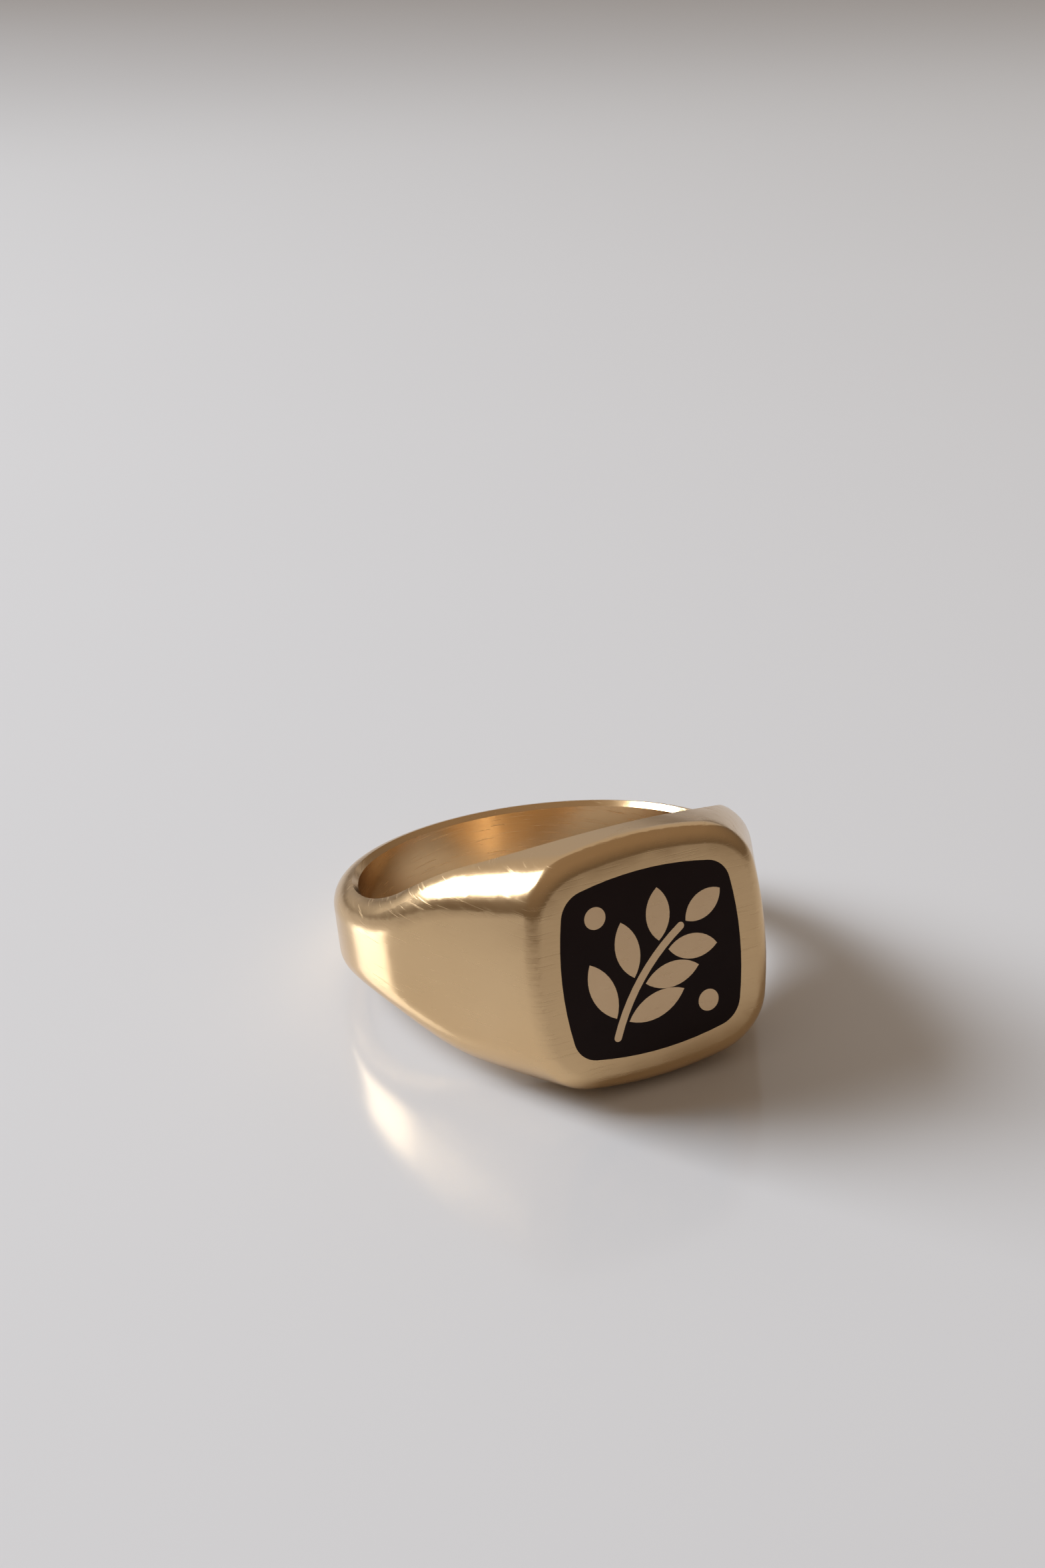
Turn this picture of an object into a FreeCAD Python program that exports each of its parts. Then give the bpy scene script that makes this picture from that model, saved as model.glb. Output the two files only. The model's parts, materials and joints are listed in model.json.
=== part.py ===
import FreeCAD, Part
import math
import os
import Sketcher
from FreeCAD import Placement, Rotation, Vector

# Signet ring: one cast gold ring with a cushion-shaped recess in its table, a sprig of flat gold
# inlays standing in that recess, and black enamel run in around them and ground flush.
# Ring frame: the bore runs along Z, the head points to -Y, and the bore's centre is the origin.
# At the end the whole ring is laid on its side, as it rests on a table, with its lowest point at z 0.

SIZES = {
    # finger hole and shank
    "bore_radius": 8.75,
    "shank_thickness": 1.25,
    "shank_width": 4.1,
    "shank_edge_radius": 1.05,
    "comfort_bevel": 0.25,
    # shoulders seen from the side: the level crown ends this far in front of the bore's centre, then
    # rolls over by the first radius and sweeps out into the shank by the second
    "crown_end": 6.2,
    "shoulder_roll_radius": 4.2,
    "shoulder_sweep_radius": 7.3,
    "shoulder_edge_radius": 1.9,
    # head, measured through its middle before its edges are rounded
    "head_height": 11.3,
    "table_reach": 11.06,
    "table_width": 11.3,
    "table_corner_radius": 2.7,
    "table_round": 0.85,
    # bulge of the head: how far the cheeks draw in at its top and bottom, and the width at which the
    # arch of its crown has sunk to the shank's own width
    "cheek_draw": 0.95,
    "arch_span": 23.0,
    # what the rough casting has in front of the table before the table is filed flat
    "casting_stock": 1.0,
    # cushion-shaped recess for the enamel
    "enamel_width": 8.68,
    "enamel_height": 8.28,
    "enamel_side_radius": 15.0,
    "enamel_corner_radius": 1.25,
    "enamel_depth": 0.8,
    # gold sprig laid along the rising diagonal of the face
    "sprig_angle": 45.0,
    "stem_width": 0.36,
    "stem_bend_radius": 9.0,
    "stem_start": -3.7,
    "stem_end": 1.9,
    "leaf_pairs": 3,
    "leaf_first": -2.9,
    "leaf_spacing": 1.85,
    "leaf_length": 2.9,
    "leaf_shortening": 0.25,
    "leaf_width": 1.15,
    "leaf_angle": 47.0,
    "leaf_gap": 0.14,
    "tip_leaf_length": 2.1,
    "berry_radius": 0.5,
    "berry_reach": 3.55,
}

# sizes that follow from the others: the shoulder's two arcs meet and end where these say
DERIVED = {
    "shoulder_radii": "=shoulder_roll_radius + shoulder_sweep_radius",
    "shoulder_drop": "=shoulder_radii - (head_height - shank_width) / 2",
    "shoulder_span": "=sqrt(shoulder_radii^2 - shoulder_drop^2)",
    "shoulder_turn": "=shoulder_span * shoulder_roll_radius / shoulder_radii",
    "outer_radius": "=bore_radius + shank_thickness",
    "shank_start": "=shoulder_span - crown_end + shank_edge_radius",
}

# points closer than this, in millimetres, are taken as one
SAME_PLACE = 1e-3
# two faces that meet at less than this angle, in degrees, run smoothly into each other
SMOOTH_ANGLE = 4.0
# how closely the ring's outline and its tilt are worked out when it is laid down
OUTLINE_SAG = 0.01
TILT_STEP = 1e-7


def make_document():
    """The document and its sheet of driving sizes, one named cell for each."""
    doc = FreeCAD.newDocument("signet_ring")
    sheet = doc.addObject("Spreadsheet::Sheet", "Sizes")
    for row, (alias, value) in enumerate({**SIZES, **DERIVED}.items(), start=1):
        sheet.set(f"A{row}", alias)
        sheet.set(f"B{row}", str(value))
        sheet.setAlias(f"B{row}", alias)
    doc.recompute()
    return doc, sheet


def new_sketch(body, name, role, offset=""):
    """A sketch on one of the body's own origin planes, raised from it by an expression if given."""
    sketch = body.newObject("Sketcher::SketchObject", name)
    plane = next(p for p in body.Origin.OriginFeatures if p.Role == role)
    sketch.AttachmentSupport = [(plane, "")]
    sketch.MapMode = "FlatFace"
    if offset:
        sketch.setExpression("AttachmentOffset.Base.z", offset)
    return sketch


def bind(sketch, kind, *where, size):
    """A dimensional constraint whose value is an expression of the sheet's cells."""
    value = float(sketch.evalExpression(size))
    index = sketch.addConstraint(Sketcher.Constraint(kind, *where, value))
    sketch.setExpression(f"Constraints[{index}]", size)


def end_at(sketch, curve, place):
    """Which end of a curve, 1 or 2, is drawn at a place."""
    return min((1, 2), key=lambda end: (sketch.getPoint(curve, end) - place).Length)


def join(sketch, first, second, smooth=False):
    """Close two curves where their nearest ends are drawn, tangent if the joint is smooth."""
    pairs = [(i, j) for i in (1, 2) for j in (1, 2)]
    gaps = [(sketch.getPoint(first, i) - sketch.getPoint(second, j)).Length for i, j in pairs]
    end, other_end = pairs[gaps.index(min(gaps))]
    kind = "Tangent" if smooth else "Coincident"
    sketch.addConstraint(Sketcher.Constraint(kind, first, end, second, other_end))


def line(sketch, start, end):
    return sketch.addGeometry(Part.LineSegment(start, end))


def arc(sketch, start, middle, end):
    return sketch.addGeometry(Part.Arc(start, middle, end))


def mirrored(point, hand=1, side=1):
    """A point with its x or its y turned to the other side by a hand or side of -1."""
    return Vector(hand * point.x, side * point.y, 0)


def loft(doc, name, role, levels, draw):
    """A body lofted smoothly through sketches on parallel planes, one for each level."""
    body = doc.addObject("PartDesign::Body", name)
    sections = []
    for number, level in enumerate(levels, start=1):
        sketch = new_sketch(body, f"{name}_section_{number}", role, offset=level)
        draw(sketch, outermost=bool(level))
        sections.append(sketch)
    skin = body.newObject("PartDesign::AdditiveLoft", name + "_loft")
    skin.Profile = sections[0]
    skin.Sections = sections[1:]
    return body


def plan_block(doc, sizes):
    """The ring seen along its bore: cheeks that run tangent into the round of the shank.

    The outline at the top and bottom of the head is smaller than in the middle, so the wall bulges.
    """
    outer = sizes.outer_radius

    def draw(sketch, outermost):
        less = " - Sizes.cheek_draw" if outermost else ""
        draw_in = sizes.cheek_draw if outermost else 0.0
        corner = Vector(sizes.table_width / 2 - draw_in, -sizes.table_reach, 0)
        swing = math.acos(outer / corner.Length) + math.atan2(corner.y, corner.x)
        touch = Vector(outer * math.cos(swing), outer * math.sin(swing), 0)
        on_bend = Vector(outer * math.cos(swing / 2), outer * math.sin(swing / 2), 0)
        along = (corner - touch).normalize()
        front = corner - along * (sizes.casting_stock / along.y)
        side = Vector(outer, 0, 0)
        back = arc(sketch, side, Vector(0, outer, 0), -side)
        walls = []
        for hand in (1, -1):
            places = [mirrored(point, hand=hand) for point in (front, touch, on_bend, side)]
            cheek = line(sketch, *places[:2])
            bend = arc(sketch, *places[1:])
            walls.append((cheek, bend))
            join(sketch, cheek, bend, smooth=True)
            join(sketch, bend, back)
            sketch.addConstraint(Sketcher.Constraint("Coincident", bend, 3, -1, 1))
        stock = line(sketch, mirrored(front, hand=-1), front)
        for cheek, bend in walls:
            join(sketch, stock, cheek)
        at_table = sketch.addGeometry(Part.Point(corner), True)
        sketch.addConstraint(Sketcher.Constraint("Coincident", back, 3, -1, 1))
        sketch.addConstraint(Sketcher.Constraint("PointOnObject", back, 1, -1))
        sketch.addConstraint(Sketcher.Constraint("PointOnObject", back, 2, -1))
        sketch.addConstraint(Sketcher.Constraint("Symmetric", stock, 1, stock, 2, -2))
        sketch.addConstraint(Sketcher.Constraint("PointOnObject", at_table, 1, walls[0][0]))
        bind(sketch, "Radius", back, size="Sizes.outer_radius")
        bind(sketch, "DistanceX", -1, 1, at_table, 1, size="Sizes.table_width / 2" + less)
        bind(sketch, "DistanceY", at_table, 1, -1, 1, size="Sizes.table_reach")
        bind(sketch, "DistanceY", stock, 2, -1, 1, size="Sizes.table_reach + Sizes.casting_stock")

    levels = ("-Sizes.head_height / 2", "", "Sizes.head_height / 2")
    return loft(doc, "plan_block", "XY_Plane", levels, draw)


def chain(sketch, corners, bends):
    """Lines from corner to corner, or an arc wherever a point for its middle is given."""
    curves = []
    for number, (start, end) in enumerate(zip(corners, corners[1:])):
        if number in bends:
            curves.append(arc(sketch, start, bends[number], end))
        else:
            curves.append(line(sketch, start, end))
    return curves


def shoulder_points(sizes):
    """The side view's upper corners from the stock to the back, and the middles of its two arcs."""
    half_head, half_shank = sizes.head_height / 2, sizes.shank_width / 2
    rolled, swept = sizes.shoulder_roll_radius, sizes.shoulder_sweep_radius
    roll_centre = Vector(-sizes.crown_end, half_head - rolled, 0)
    sweep_centre = Vector(sizes.shoulder_span - sizes.crown_end, half_shank + swept, 0)
    over = roll_centre + Vector(0, rolled, 0)
    under = sweep_centre - Vector(0, swept, 0)
    turn = roll_centre + (sweep_centre - roll_centre).normalize() * rolled
    on_roll = roll_centre + (over + turn - roll_centre * 2).normalize() * rolled
    on_sweep = sweep_centre + (turn + under - sweep_centre * 2).normalize() * swept
    front = Vector(-sizes.table_reach - sizes.casting_stock, half_head, 0)
    back = Vector(sizes.outer_radius, half_shank, 0)
    return [front, over, turn, under, back], {1: on_roll, 2: on_sweep}


def side_block(doc, sizes):
    """The ring seen from its side: the tall head sweeps down over the shoulders to the narrow shank.

    At both ends of the arch's span the outline is a plain strip as wide as the shank, with a corner
    for each of the middle outline's, so the loft arches the crown from side to side.
    """
    reaches = [
        "Sizes.table_reach + Sizes.casting_stock",
        "Sizes.crown_end",
        "Sizes.crown_end - Sizes.shoulder_turn",
        "Sizes.crown_end - Sizes.shoulder_span",
        "-Sizes.outer_radius",
    ]

    def draw(sketch, outermost):
        corners, bends = shoulder_points(sizes)
        if outermost:
            corners = [Vector(corner.x, sizes.shank_width / 2, 0) for corner in corners]
            bends = {}
        below = [mirrored(corner, side=-1) for corner in corners]
        upper = chain(sketch, corners, bends)
        lower = chain(sketch, below, {number: mirrored(bends[number], side=-1) for number in bends})
        stock = line(sketch, corners[0], below[0])
        back = line(sketch, corners[-1], below[-1])
        for half in (upper, lower):
            for first, second in zip(half, half[1:]):
                join(sketch, first, second, smooth=half is upper and not outermost)
            join(sketch, stock, half[0])
            join(sketch, half[-1], back)
        for number, reach in enumerate(reaches):
            first, second = (half[min(number, len(half) - 1)] for half in (upper, lower))
            end = end_at(sketch, first, corners[number])
            other_end = end_at(sketch, second, below[number])
            sketch.addConstraint(Sketcher.Constraint("Symmetric", first, end, second, other_end, -1))
            if outermost or number not in (2, 3):
                bind(sketch, "DistanceX", first, end, -1, 1, size=reach)
            if outermost:
                bind(sketch, "DistanceY", -1, 1, first, end, size="Sizes.shank_width / 2")
        if not outermost:
            for level_part in (upper[0], upper[-1]):
                sketch.addConstraint(Sketcher.Constraint("Horizontal", level_part))
            bind(sketch, "DistanceY", stock, 2, stock, 1, size="Sizes.head_height")
            bind(sketch, "DistanceY", back, 2, back, 1, size="Sizes.shank_width")
            for half in (upper, lower):
                bind(sketch, "Radius", half[1], size="Sizes.shoulder_roll_radius")
                bind(sketch, "Radius", half[2], size="Sizes.shoulder_sweep_radius")

    levels = ("-Sizes.arch_span / 2", "", "Sizes.arch_span / 2")
    return loft(doc, "side_block", "YZ_Plane", levels, draw)


def back_block(doc, sizes):
    """The back of the shank: a plain band of one width, square until its edges are rounded."""
    body = doc.addObject("PartDesign::Body", "back_block")
    sketch = new_sketch(body, "back_outline", "XY_Plane")
    outer, start = sizes.outer_radius, sizes.shank_start
    end = Vector(math.sqrt(outer**2 - start**2), start, 0)
    round_back = arc(sketch, end, Vector(0, outer, 0), mirrored(end, hand=-1))
    chord = line(sketch, mirrored(end, hand=-1), end)
    sketch.addConstraint(Sketcher.Constraint("Coincident", round_back, 2, chord, 1))
    sketch.addConstraint(Sketcher.Constraint("Coincident", round_back, 1, chord, 2))
    sketch.addConstraint(Sketcher.Constraint("Coincident", round_back, 3, -1, 1))
    sketch.addConstraint(Sketcher.Constraint("Horizontal", chord))
    bind(sketch, "Radius", round_back, size="Sizes.outer_radius")
    bind(sketch, "DistanceY", -1, 1, chord, 1, size="Sizes.shank_start")
    pad = body.newObject("PartDesign::Pad", "back_pad")
    pad.Profile = sketch
    pad.Midplane = True
    pad.setExpression("Length", "Sizes.shank_width")
    return body


def cushion(sketch, prefix):
    """A closed cushion outline round the sketch's origin: four bulging sides and four round corners.

    Its width, height and radii are the sheet's cells that start with the prefix.
    """
    sheet = sketch.Document.Sizes
    half_width = getattr(sheet, prefix + "_width") / 2
    half_height = getattr(sheet, prefix + "_height") / 2
    side_radius = getattr(sheet, prefix + "_side_radius")
    corner_radius = getattr(sheet, prefix + "_corner_radius")
    # the corner's centre lies as far from both side centres as the radii differ
    right = Vector(half_width - side_radius, 0, 0)
    top = Vector(0, half_height - side_radius, 0)
    reach = side_radius - corner_radius
    mean = (right + top) * 0.5
    away = Vector(-top.y, -right.x, 0).normalize()
    corner = mean + away * math.sqrt(reach**2 - (right - mean).Length ** 2)
    # half the turn of an upright side's arc, and of a level side's
    upright = math.atan2(corner.y, corner.x - right.x)
    level = math.atan2(corner.x, corner.y - top.y)
    quarters = [
        (right, corner, upright, level),
        (top, mirrored(corner, hand=-1), level, upright),
        (-right, -corner, upright, level),
        (-top, mirrored(corner, side=-1), level, upright),
    ]
    curves = []
    for number, (side_centre, corner_centre, half, next_half) in enumerate(quarters):
        facing = number * math.pi / 2
        side = Part.Circle(side_centre, Vector(0, 0, 1), side_radius)
        curves.append(sketch.addGeometry(Part.ArcOfCircle(side, facing - half, facing + half)))
        turn = Part.Circle(corner_centre, Vector(0, 0, 1), corner_radius)
        turn_arc = Part.ArcOfCircle(turn, facing + half, facing + math.pi / 2 - next_half)
        curves.append(sketch.addGeometry(turn_arc))
    for first, second in zip(curves, curves[1:] + curves[:1]):
        sketch.addConstraint(Sketcher.Constraint("Tangent", first, 2, second, 1))
    for quarter in range(4):
        side, turn = curves[2 * quarter : 2 * quarter + 2]
        across = quarter % 2
        axis = -2 if across else -1
        sketch.addConstraint(Sketcher.Constraint("PointOnObject", side, 3, axis))
        bind(sketch, "Radius", side, size=f"Sizes.{prefix}_side_radius")
        bind(sketch, "Radius", turn, size=f"Sizes.{prefix}_corner_radius")
        extent = "height" if across else "width"
        offset = f"Sizes.{prefix}_side_radius - Sizes.{prefix}_{extent} / 2"
        ends = (side, 3, -1, 1) if quarter < 2 else (-1, 1, side, 3)
        bind(sketch, "DistanceY" if across else "DistanceX", *ends, size=offset)


def face_block(doc, name, draw):
    """A flat piece of the face: its outline on the table plane, sunk by the enamel's depth."""
    body = doc.addObject("PartDesign::Body", name)
    sketch = new_sketch(body, name + "_outline", "XZ_Plane", offset="Sizes.table_reach")
    draw(sketch)
    pad = body.newObject("PartDesign::Pad", name + "_pad")
    pad.Profile = sketch
    pad.Reversed = True
    pad.setExpression("Length", "Sizes.enamel_depth")
    return body


def sharp_edges(shape):
    """The edges of a shape along which its two faces don't run smoothly into each other."""
    found = []
    for number, edge in enumerate(shape.Edges, start=1):
        faces = shape.ancestorsOfType(edge, Part.Face)
        middle = edge.valueAt((edge.FirstParameter + edge.LastParameter) / 2)
        normals = [face.normalAt(*face.Surface.parameter(middle)) for face in faces]
        if len(normals) == 2 and normals[0].getAngle(normals[1]) > math.radians(SMOOTH_ANGLE):
            found.append((number, edge, middle))
    return found


def edge_radius(sizes, point):
    """How round the ring's long edges are: most at the head, less and less towards the shank."""
    stations = [
        (-sizes.table_reach, sizes.table_corner_radius),
        (-sizes.bore_radius / 2, sizes.shoulder_edge_radius),
        (sizes.shoulder_span - sizes.crown_end, sizes.shank_edge_radius),
        (sizes.outer_radius, sizes.shank_edge_radius),
    ]
    for (start, first), (end, second) in zip(stations, stations[1:]):
        if point.y <= end:
            share = max(0.0, (point.y - start) / (end - start))
            return first + (second - first) * share
    return sizes.shank_edge_radius


def soften_long_edges(doc, sizes, blank):
    """Round the two long edges that run from the head round the back of the shank and home again.

    Each edge is followed from one end at the table to the other, with a radius for both ends of
    every stretch. A stretch takes them in its own direction, which is the walk's or the reverse.
    """
    table = -sizes.table_reach

    def at_table(vertex):
        return abs(vertex.Y - table) < SAME_PLACE

    def touches(edge, place):
        return any((vertex.Point - place).Length < SAME_PLACE for vertex in edge.Vertexes)

    radii = []
    for side in (1, -1):
        left = [
            (number, edge)
            for number, edge, middle in sharp_edges(blank.Shape)
            if middle.y > table + SAME_PLACE and middle.z * side > 0
        ]
        first = next(edge for _, edge in left if any(at_table(vertex) for vertex in edge.Vertexes))
        along = at_table(first.firstVertex(False))
        here = next(vertex.Point for vertex in first.Vertexes if at_table(vertex))
        while left:
            number, edge = next(item for item in left if touches(item[1], here))
            left.remove((number, edge))
            there = max((v.Point for v in edge.Vertexes), key=lambda point: (point - here).Length)
            ends = (edge_radius(sizes, here), edge_radius(sizes, there))
            radii.append((number, *(ends if along else reversed(ends))))
            here = there
    fillet = doc.addObject("Part::Fillet", "long_edges")
    fillet.Base = blank
    fillet.Edges = radii
    return fillet


def soften(doc, kind, name, base, size, chosen):
    """Round or bevel those sharp edges whose middle point is chosen, all by one size."""
    edges = doc.addObject(kind, name)
    edges.Base = base
    edges.Edges = [
        (number, size, size) for number, _, middle in sharp_edges(base.Shape) if chosen(middle)
    ]
    return edges


def combine(doc, kind, name, base, tool):
    """One shape cut by, fused with or kept inside another."""
    result = doc.addObject(kind, name)
    result.Base = base
    result.Tool = tool
    return result


def filed_box(doc):
    """What the file leaves of the rough front: all behind the table and before the plain shank."""
    box = doc.addObject("Part::Box", "file_lines")
    box.setExpression("Length", "4 * Sizes.outer_radius")
    box.setExpression("Width", "Sizes.table_reach + Sizes.shank_start")
    box.setExpression("Height", "2 * Sizes.head_height")
    box.setExpression("Placement.Base.x", "-2 * Sizes.outer_radius")
    box.setExpression("Placement.Base.y", "-Sizes.table_reach")
    box.setExpression("Placement.Base.z", "-Sizes.head_height")
    return box


def finger_hole(doc):
    """The round tool that bores the ring."""
    hole = doc.addObject("Part::Cylinder", "finger_hole")
    hole.setExpression("Radius", "Sizes.bore_radius")
    hole.setExpression("Height", "2 * Sizes.head_height")
    hole.setExpression("Placement.Base.z", "-Sizes.head_height")
    return hole


def ring_body(doc, sizes):
    """The casting: two crossing outlines make its blank, then every edge is rounded and it is bored."""

    def on_table(point):
        return point.y < SAME_PLACE - sizes.table_reach

    def on_bore(point):
        return math.hypot(point.x, point.y) < sizes.bore_radius + SAME_PLACE

    rough = combine(doc, "Part::Common", "rough_front", plan_block(doc, sizes), side_block(doc, sizes))
    front = combine(doc, "Part::Common", "filed_front", rough, filed_box(doc))
    blank = combine(doc, "Part::Fuse", "blank", front, back_block(doc, sizes))
    doc.recompute()
    softened = soften_long_edges(doc, sizes, blank)
    doc.recompute()
    rolled = soften(doc, "Part::Fillet", "table_edge", softened, sizes.table_round, on_table)
    bored = combine(doc, "Part::Cut", "bored", rolled, finger_hole(doc))
    doc.recompute()
    eased = soften(doc, "Part::Chamfer", "comfort_edge", bored, sizes.comfort_bevel, on_bore)
    recess = face_block(doc, "recess", lambda sketch: cushion(sketch, "enamel"))
    ring = combine(doc, "Part::Cut", "ring_body", eased, recess)
    doc.recompute()
    return ring


def stem_point(sizes, along):
    """The point and direction of the stem's curved centre line, in the plane of the face."""
    turn = along / sizes.stem_bend_radius
    place = Vector(math.sin(turn), math.cos(turn) - 1, 0) * sizes.stem_bend_radius
    return place, -math.degrees(turn)


def stem(sketch):
    """A curved bar of one width with round ends."""
    sizes = sketch.Document.Sizes
    centre = Vector(0, -sizes.stem_bend_radius, 0)
    half = sizes.stem_width / 2
    start = math.pi / 2 - sizes.stem_end / sizes.stem_bend_radius
    end = math.pi / 2 - sizes.stem_start / sizes.stem_bend_radius
    rings = []
    for radius in (sizes.stem_bend_radius + half, sizes.stem_bend_radius - half):
        circle = Part.Circle(centre, Vector(0, 0, 1), radius)
        rings.append(sketch.addGeometry(Part.ArcOfCircle(circle, start, end)))
    caps = []
    for angle, turned in ((end, 0), (start, math.pi)):
        tip = centre + Vector(math.cos(angle), math.sin(angle), 0) * sizes.stem_bend_radius
        circle = Part.Circle(tip, Vector(0, 0, 1), half)
        cap = Part.ArcOfCircle(circle, angle + turned, angle + turned + math.pi)
        caps.append(sketch.addGeometry(cap))
    sketch.addConstraint(Sketcher.Constraint("Tangent", rings[0], 2, caps[0], 1))
    sketch.addConstraint(Sketcher.Constraint("Tangent", caps[0], 2, rings[1], 2))
    sketch.addConstraint(Sketcher.Constraint("Tangent", rings[1], 1, caps[1], 1))
    sketch.addConstraint(Sketcher.Constraint("Tangent", caps[1], 2, rings[0], 1))
    sketch.addConstraint(Sketcher.Constraint("PointOnObject", rings[0], 3, -2))
    bind(sketch, "DistanceY", rings[0], 3, -1, 1, size="Sizes.stem_bend_radius")
    bind(sketch, "Radius", rings[0], size="Sizes.stem_bend_radius + Sizes.stem_width / 2")
    bind(sketch, "Radius", rings[1], size="Sizes.stem_bend_radius - Sizes.stem_width / 2")


def leaf(length):
    """A pointed leaf between two equal arcs, its base on the sketch's origin and its tip along +X."""

    def draw(sketch):
        span = float(sketch.evalExpression(length))
        half = sketch.Document.Sizes.leaf_width / 2
        base, tip = Vector(), Vector(span, 0, 0)
        sides = [arc(sketch, base, Vector(span / 2, -half, 0), tip)]
        sides.append(arc(sketch, tip, Vector(span / 2, half, 0), base))
        sketch.addConstraint(Sketcher.Constraint("Coincident", sides[0], 2, sides[1], 1))
        sketch.addConstraint(Sketcher.Constraint("Coincident", sides[1], 2, sides[0], 1))
        sketch.addConstraint(Sketcher.Constraint("Coincident", sides[0], 1, -1, 1))
        sketch.addConstraint(Sketcher.Constraint("PointOnObject", sides[0], 2, -1))
        bind(sketch, "DistanceX", -1, 1, sides[0], 2, size=length)
        for side in sides:
            bound = f"(({length})^2 + Sizes.leaf_width^2) / (4 * Sizes.leaf_width)"
            bind(sketch, "Radius", side, size=bound)

    return draw


def berry(sketch):
    """A round dot on the sketch's origin."""
    circle = Part.Circle(Vector(), Vector(0, 0, 1), sketch.Document.Sizes.berry_radius)
    dot = sketch.addGeometry(circle)
    sketch.addConstraint(Sketcher.Constraint("Coincident", dot, 3, -1, 1))
    bind(sketch, "Radius", dot, size="Sizes.berry_radius")


def on_face(sizes, place, angle):
    """Where a motif drawn about the sketch's origin stands on the face of the ring."""
    turned = Rotation(Vector(0, -1, 0), sizes.sprig_angle)
    across = turned.multVec(Vector(place.x, 0, place.y))
    return Placement(across, Rotation(Vector(0, -1, 0), sizes.sprig_angle + angle))


def sprig(doc, sizes):
    """The gold inlays: a curved stem, pairs of leaves with one at the tip, and two berries."""
    pieces = [(face_block(doc, "sprig_stem", stem), on_face(sizes, Vector(), 0))]
    clear = sizes.stem_width / 2 + sizes.leaf_gap
    for pair in range(int(sizes.leaf_pairs)):
        point, heading = stem_point(sizes, sizes.leaf_first + pair * sizes.leaf_spacing)
        for number, side in enumerate((1, -1), start=1 + 2 * pair):
            length = f"Sizes.leaf_length - {pair} * Sizes.leaf_shortening"
            body = face_block(doc, f"sprig_leaf_{number}", leaf(length))
            out = Rotation(Vector(0, 0, 1), heading).multVec(Vector(0, side * clear, 0))
            pieces.append((body, on_face(sizes, point + out, heading + side * sizes.leaf_angle)))
    point, heading = stem_point(sizes, sizes.stem_end + clear)
    tip = face_block(doc, "sprig_tip_leaf", leaf("Sizes.tip_leaf_length"))
    pieces.append((tip, on_face(sizes, point, heading)))
    for number, side in enumerate((1, -1), start=1):
        body = face_block(doc, f"sprig_berry_{number}", berry)
        pieces.append((body, on_face(sizes, Vector(0, side * sizes.berry_reach, 0), 0)))
    for body, place in pieces:
        body.Placement = place
    doc.recompute()
    return [body for body, _ in pieces]


def enamel_field(doc, motifs):
    """Black enamel run into the recess around the inlays, so it meets the gold face to face."""
    poured = face_block(doc, "poured_enamel", lambda sketch: cushion(sketch, "enamel"))
    islands = doc.addObject("Part::MultiFuse", "islands")
    islands.Shapes = motifs
    field = combine(doc, "Part::Cut", "enamel_field", poured, islands)
    doc.recompute()
    return field, poured


def rest_tilt(shape):
    """The angle by which the ring leans when its head and the back of its shank both touch the table."""
    points, _ = shape.tessellate(OUTLINE_SAG)
    low, high = 0.0, math.pi / 4
    while high - low > TILT_STEP:
        tilt = (low + high) / 2
        lowest = min(points, key=lambda p: p.z * math.cos(tilt) - p.y * math.sin(tilt))
        low, high = (tilt, high) if lowest.y < 0 else (low, tilt)
    return math.degrees(low)


def lay_down(ring, others):
    """Tilt the finished ring onto its side and stand it on z 0, centred on the origin."""
    tilt = Placement(Vector(), Rotation(Vector(1, 0, 0), -rest_tilt(ring.Shape)))
    box = ring.Shape.transformed(tilt.toMatrix()).optimalBoundingBox(False)
    shift = Placement(Vector(-box.Center.x, -box.Center.y, -box.ZMin), Rotation())
    for piece in [ring] + others:
        piece.Placement = shift * tilt * piece.Placement
    return shift * tilt


doc, sizes = make_document()
ring = ring_body(doc, sizes)
motifs = sprig(doc, sizes)
enamel, poured = enamel_field(doc, motifs)
rest = lay_down(ring, motifs + [poured])
doc.recompute()

centre = rest.multVec(Vector())
axis = rest.Rotation.multVec(Vector(0, 0, 1))
print("bore centre", [round(c, 4) for c in centre], "bore axis", [round(c, 6) for c in axis])

nodes = [ring, enamel] + motifs
for item in doc.Objects:
    if {"Invalid", "Error"} & set(item.State):
        raise SystemExit(f"{item.Name} failed: {item.State}")
for node in nodes:
    if node.Shape.isNull() or not node.Shape.isValid() or len(node.Shape.Solids) != 1:
        raise SystemExit(f"{node.Label} isn't one valid solid")

os.makedirs("parts", exist_ok=True)
for node in nodes:
    node.Shape.exportStep(f"parts/{node.Label}.step")
    print(node.Label, round(node.Shape.Volume, 3))
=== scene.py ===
import json
import math

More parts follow.
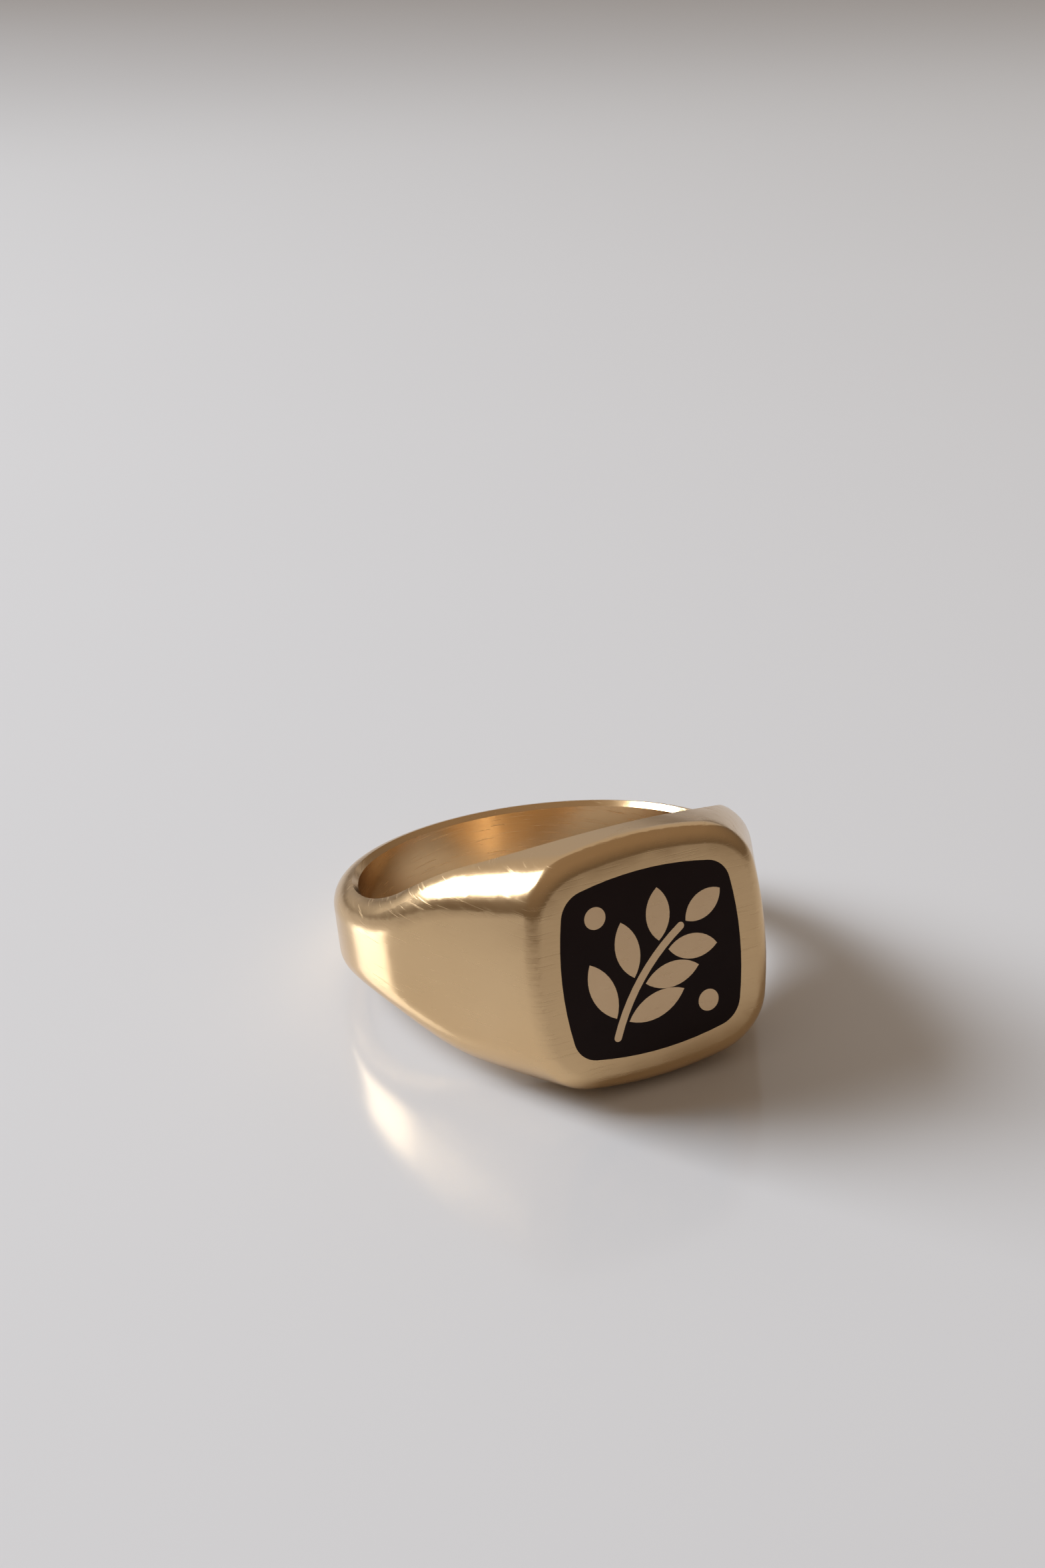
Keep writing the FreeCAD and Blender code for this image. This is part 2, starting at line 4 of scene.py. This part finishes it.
import bpy
import mathutils
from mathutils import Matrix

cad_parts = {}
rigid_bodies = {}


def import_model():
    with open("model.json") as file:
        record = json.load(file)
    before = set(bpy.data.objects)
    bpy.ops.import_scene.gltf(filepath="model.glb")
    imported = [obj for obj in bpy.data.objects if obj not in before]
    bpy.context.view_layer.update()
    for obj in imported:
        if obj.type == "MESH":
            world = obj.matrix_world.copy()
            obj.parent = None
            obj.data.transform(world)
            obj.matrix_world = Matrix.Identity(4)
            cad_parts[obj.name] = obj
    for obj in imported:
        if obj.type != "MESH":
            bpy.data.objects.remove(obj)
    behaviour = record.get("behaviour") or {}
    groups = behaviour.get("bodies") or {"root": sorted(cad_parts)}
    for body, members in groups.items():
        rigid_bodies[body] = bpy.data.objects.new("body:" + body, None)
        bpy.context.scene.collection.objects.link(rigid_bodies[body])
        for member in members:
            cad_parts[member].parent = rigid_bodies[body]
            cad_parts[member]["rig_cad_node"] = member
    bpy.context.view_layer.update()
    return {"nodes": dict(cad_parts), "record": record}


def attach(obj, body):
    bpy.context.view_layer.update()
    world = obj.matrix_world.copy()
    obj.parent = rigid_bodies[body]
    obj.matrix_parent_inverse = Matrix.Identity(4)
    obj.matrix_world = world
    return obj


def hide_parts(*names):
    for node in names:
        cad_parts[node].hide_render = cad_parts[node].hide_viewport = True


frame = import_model()
bpy.ops.object.select_all(action="DESELECT")

# Ring: one casting in yellow gold, filed, sanded and buffed to a soft mirror.
# The buffing leaves the long shallow sweeps and hair-fine scratches of a ring that has been worn.
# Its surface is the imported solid's own, with the loose facets joined and shaded as one skin.


class Field:
    """A socket that can be used in a Python expression, which adds the Math nodes it stands for."""

    def __init__(self, material, socket):
        self.material = material
        self.socket = socket

    def maths(self, operation, *values):
        return self.material.add("ShaderNodeMath", {"operation": operation}, values)

    def __add__(self, other):
        return self.maths("ADD", self, other)

    def __sub__(self, other):
        return self.maths("SUBTRACT", self, other)

    def __rsub__(self, other):
        return self.maths("SUBTRACT", other, self)

    def __mul__(self, other):
        return self.maths("MULTIPLY", self, other)

    __radd__ = __add__
    __rmul__ = __mul__


MIX_FIRST, MIX_SECOND, MIX_RESULT = 6, 7, 2  # the colour sockets of a Mix node


class Finish:
    """A material and the tree of nodes behind its one Principled shader."""

    def __init__(self, name):
        self.material = bpy.data.materials.new(name)
        self.material.use_nodes = True
        self.tree = self.material.node_tree
        self.shader = next(n for n in self.tree.nodes if n.type == "BSDF_PRINCIPLED")

    def add(self, kind, settings, inputs, output=0):
        """Add a node, set it up, then give its inputs, listed or named, their values or links."""
        node = self.tree.nodes.new(kind)
        for key, value in settings.items():
            setattr(node, key, value)
        pairs = inputs.items() if isinstance(inputs, dict) else enumerate(inputs)
        for key, value in pairs:
            self.feed(node.inputs[key], value)
        return Field(self, node.outputs[output])

    def feed(self, socket, value):
        if isinstance(value, Field):
            self.tree.links.new(value.socket, socket)
        else:
            socket.default_value = value

    def place(self, scale=(1.0, 1.0, 1.0), turn=(0.0, 0.0, 0.0)):
        """Object coordinates in metres, scaled along their axes and then turned about the origin.

        A scale above 1 along Z squeezes a noise into strokes that run level round the ring.
        """
        where = self.add("ShaderNodeTexCoord", {}, {}, output="Object")
        inputs = {"Vector": where, "Rotation": turn, "Scale": scale}
        return self.add("ShaderNodeMapping", {}, inputs)

    def noise(self, where, scale, detail=2.0, roughness=0.5):
        """Cloudy noise from 0 to 1, its lumps about 1 / scale metres across."""
        inputs = {"Vector": where, "Scale": scale, "Detail": detail, "Roughness": roughness}
        return self.add("ShaderNodeTexNoise", {}, inputs, output="Fac")

    def lines(self, where, scale, low, high):
        """Thin lines where a squeezed noise stands high: 0 up to the low mark, 1 from the high."""
        inputs = {"Value": self.noise(where, scale), "From Min": low, "From Max": high}
        return self.add("ShaderNodeMapRange", {}, inputs)

    def between(self, share, first, second):
        """A colour that runs from the first to the second as the share runs from 0 to 1."""
        inputs = {"Factor": share, MIX_FIRST: first, MIX_SECOND: second}
        return self.add("ShaderNodeMix", {"data_type": "RGBA"}, inputs, output=MIX_RESULT)

    def set(self, **inputs):
        """Give inputs of the shader their values or links, with _ for the spaces in their names."""
        for name, value in inputs.items():
            self.feed(self.shader.inputs[name.replace("_", " ")], value)

    def relief(self, height, depth):
        """Bump the surface by a height between 0 and 1 times a depth in metres."""
        self.set(Normal=self.add("ShaderNodeBump", {}, {"Height": height, "Distance": depth}))

    def paint(self, *names):
        """Put the material on the frame's nodes of these names."""
        for name in names:
            slots = frame["nodes"][name].data.materials
            slots.clear()
            slots.append(self.material)


mount = next(m for m in frame["record"]["mounts"] if m["name"] == "finger_bore")
bore_centre = mathutils.Vector(mount["pos_m"])
bore_axis = mathutils.Vector(mount["axis"])
lean = -math.atan2(bore_axis.y, bore_axis.z)

DEEP_GOLD = (0.74, 0.51, 0.27, 1.0)
PALE_GOLD = (0.80, 0.57, 0.325, 1.0)
BUFFED_ROUGHNESS = 0.13
BUFF_DEPTH = 2.0e-6
gold = Finish("buffed_gold")
sweep = gold.noise(gold.place(), scale=220.0, detail=1.0)
grain = gold.noise(gold.place(), scale=2600.0, detail=4.0, roughness=0.65)
rubbed = gold.place(scale=(1.0, 1.0, 6.0), turn=(lean, 0.0, 0.0))
wear = gold.noise(rubbed, scale=900.0, detail=3.0)
scratched = gold.place(scale=(1.0, 1.0, 30.0), turn=(lean, 0.35, 0.2))
hairlines = gold.lines(scratched, scale=520.0, low=0.60, high=0.68)
gold.set(
    Base_Color=gold.between(sweep, DEEP_GOLD, PALE_GOLD),
    Metallic=1.0,
    Roughness=BUFFED_ROUGHNESS + 0.07 * wear + 0.03 * grain + 0.10 * hairlines,
)
gold.relief(wear * 0.6 + grain * 0.3 - hairlines * 0.3, BUFF_DEPTH)

FACET_JOIN = 1.0e-6
SHARP_EDGE = math.radians(25.0)
casting = frame["nodes"]["ring_body"]
casting.select_set(True)
bpy.context.view_layer.objects.active = casting
bpy.ops.object.duplicate()
ring = bpy.context.object
ring.name = "buffed_ring"
del ring["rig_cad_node"]
bpy.ops.object.mode_set(mode="EDIT")
bpy.ops.mesh.select_all(action="SELECT")
bpy.ops.mesh.customdata_custom_splitnormals_clear()
bpy.ops.mesh.remove_doubles(threshold=FACET_JOIN)
bpy.ops.object.mode_set(mode="OBJECT")
bpy.ops.object.shade_smooth_by_angle(angle=SHARP_EDGE)
ring.modifiers.new("even_sheen", "WEIGHTED_NORMAL").keep_sharp = True
bpy.ops.object.modifier_apply(modifier="even_sheen")
ring.data.materials.clear()
ring.data.materials.append(gold.material)
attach(ring, "root")
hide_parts("ring_body")
bpy.ops.object.select_all(action="DESELECT")

# Sprig: flat gold inlays soldered to the floor of the recess before the enamel is fired.
# Their faces were stoned flush with the enamel, so they are a shade duller than the buffed ring.
STONED_DARK = (0.74, 0.52, 0.31, 1.0)
STONED_LIGHT = (0.79, 0.57, 0.35, 1.0)
STONED_ROUGHNESS = 0.22
STONING_DEPTH = 0.2e-6
inlay = Finish("stoned_gold")
strokes = inlay.place(scale=(1.0, 1.0, 5.0), turn=(lean, 0.7, 0.0))
stoned = inlay.noise(strokes, scale=1500.0, detail=3.0)
tone = inlay.noise(inlay.place(), scale=500.0)
inlay.set(
    Base_Color=inlay.between(tone, STONED_DARK, STONED_LIGHT),
    Metallic=1.0,
    Roughness=STONED_ROUGHNESS + 0.08 * stoned,
)
inlay.relief(stoned, STONING_DEPTH)
inlay.paint(*[name for name in frame["nodes"] if name.startswith("sprig_")])

# Enamel: opaque black glass, fused around the inlays and polished level with the gold.
# It keeps a faint orange-peel swell and a few fine pits from the firing.
GLASS_DARK = (0.011, 0.004, 0.003, 1.0)
GLASS_LIGHT = (0.017, 0.007, 0.005, 1.0)
GLASS_ROUGHNESS = 0.2
SWELL_DEPTH = 1.5e-6
glass = Finish("black_enamel")
swell = glass.noise(glass.place(), scale=700.0, detail=1.0)
pits = glass.noise(glass.place(), scale=5200.0, detail=2.0)
glass.set(
    Base_Color=glass.between(swell, GLASS_DARK, GLASS_LIGHT),
    Roughness=GLASS_ROUGHNESS + 0.10 * pits,
    Specular_IOR_Level=0.12,
)
glass.relief(swell * 0.7 + pits * 0.3, SWELL_DEPTH)
glass.paint("enamel_field")

# Table top: a board painted a pale grey with a glossy coat, which mirrors the ring faintly.
# The ring lies loose on it, so it belongs to the picture and not to the ring.
BOARD_SIZE = 6.0
BOARD_GREY = (0.70, 0.70, 0.705, 1.0)
bpy.ops.mesh.primitive_plane_add(size=BOARD_SIZE, location=(0.0, 0.0, 0.0))
board = bpy.context.object
board.name = "board"
lacquer = Finish("pale_board")
lacquer.set(Base_Color=BOARD_GREY, Roughness=0.15, Specular_IOR_Level=0.45)
board.data.materials.append(lacquer.material)

# Studio: a dim brown room, which gets lighter towards its ceiling.
# A window stands behind the ring and to its left, and a wide pale wall behind it.
ROOM_LOW = (0.14, 0.11, 0.085, 1.0)
ROOM_HIGH = (0.305, 0.235, 0.175, 1.0)
world = bpy.data.worlds.new("room")
bpy.context.scene.world = world
world.use_nodes = True
air = world.node_tree
sky = air.nodes["Background"]
direction = air.nodes.new("ShaderNodeTexCoord")
height = air.nodes.new("ShaderNodeSeparateXYZ")
ramp = air.nodes.new("ShaderNodeValToRGB")
air.links.new(direction.outputs["Generated"], height.inputs[0])
air.links.new(height.outputs["Z"], ramp.inputs[0])
air.links.new(ramp.outputs[0], sky.inputs["Color"])
for stop, position, colour in zip(ramp.color_ramp.elements, (0.0, 0.9), (ROOM_LOW, ROOM_HIGH)):
    stop.position = position
    stop.color = colour
sky.inputs["Strength"].default_value = 1.0


def towards(azimuth, elevation):
    """The direction of a point seen from the ring; azimuth 0 is in front and grows to the right."""
    turn, rise = math.radians(azimuth), math.radians(elevation)
    flat = math.cos(rise)
    return mathutils.Vector((math.sin(turn) * flat, -math.cos(turn) * flat, math.sin(rise)))


def softbox(name, azimuth, elevation, distance, width, height, power, tint):
    """A lamp that hangs that way from the bore's centre and is aimed at it."""
    away = towards(azimuth, elevation)
    lamp = bpy.data.lights.new(name, "AREA")
    lamp.shape = "RECTANGLE"
    lamp.size = width
    lamp.size_y = height
    lamp.energy = power
    lamp.color = tint
    stand = bpy.data.objects.new(name, lamp)
    stand.location = bore_centre + away * distance
    stand.rotation_euler = away.to_track_quat("Z", "Y").to_euler()
    bpy.context.scene.collection.objects.link(stand)


softbox(
    "window",
    azimuth=-133.0,
    elevation=32.0,
    distance=0.9,
    width=0.45,
    height=0.5,
    power=11.7,
    tint=(0.86, 0.92, 1.0),
)
softbox(
    "pale_wall",
    azimuth=172.0,
    elevation=28.0,
    distance=1.4,
    width=2.6,
    height=1.2,
    power=3.0,
    tint=(0.92, 0.96, 1.0),
)

# Camera: where the photograph was taken from, found by fitting the ring's outline to it.
# Its place is given about the bore, as if the bore stood upright, in degrees and metres.
# The picture is taller than it is wide, so the sensor's long side spans the height.
PHOTO_HEIGHT = 2352
FOCAL_PIXELS = 2944.0
SENSOR = 36.0
VIEW_AZIMUTH = -22.7
VIEW_ELEVATION = 15.3
VIEW_ROLL = -6.6
VIEW_DISTANCE = 0.09414
VIEW_RIGHT = 0.00105
VIEW_UP = -0.00537
back = towards(VIEW_AZIMUTH, VIEW_ELEVATION)
azimuth, roll = math.radians(VIEW_AZIMUTH), math.radians(VIEW_ROLL)
level = mathutils.Vector((math.cos(azimuth), math.sin(azimuth), 0.0))
upright = back.cross(level)
right = math.cos(roll) * level + math.sin(roll) * upright
up = -math.sin(roll) * level + math.cos(roll) * upright
camera = bpy.data.cameras.new("camera")
camera.sensor_width = SENSOR
camera.lens = FOCAL_PIXELS * SENSOR / PHOTO_HEIGHT
camera.clip_start = 0.005
viewer = bpy.data.objects.new("camera", camera)
bpy.context.scene.collection.objects.link(viewer)
tilt = mathutils.Matrix.Rotation(lean, 3, "X")
facing = mathutils.Matrix((right, up, back)).transposed()
eye = back * VIEW_DISTANCE - right * VIEW_RIGHT - up * VIEW_UP
viewer.matrix_world = (tilt @ facing).to_4x4()
viewer.location = bore_centre + tilt @ eye
bpy.context.scene.camera = viewer
bpy.context.scene.view_settings.view_transform = "Standard"
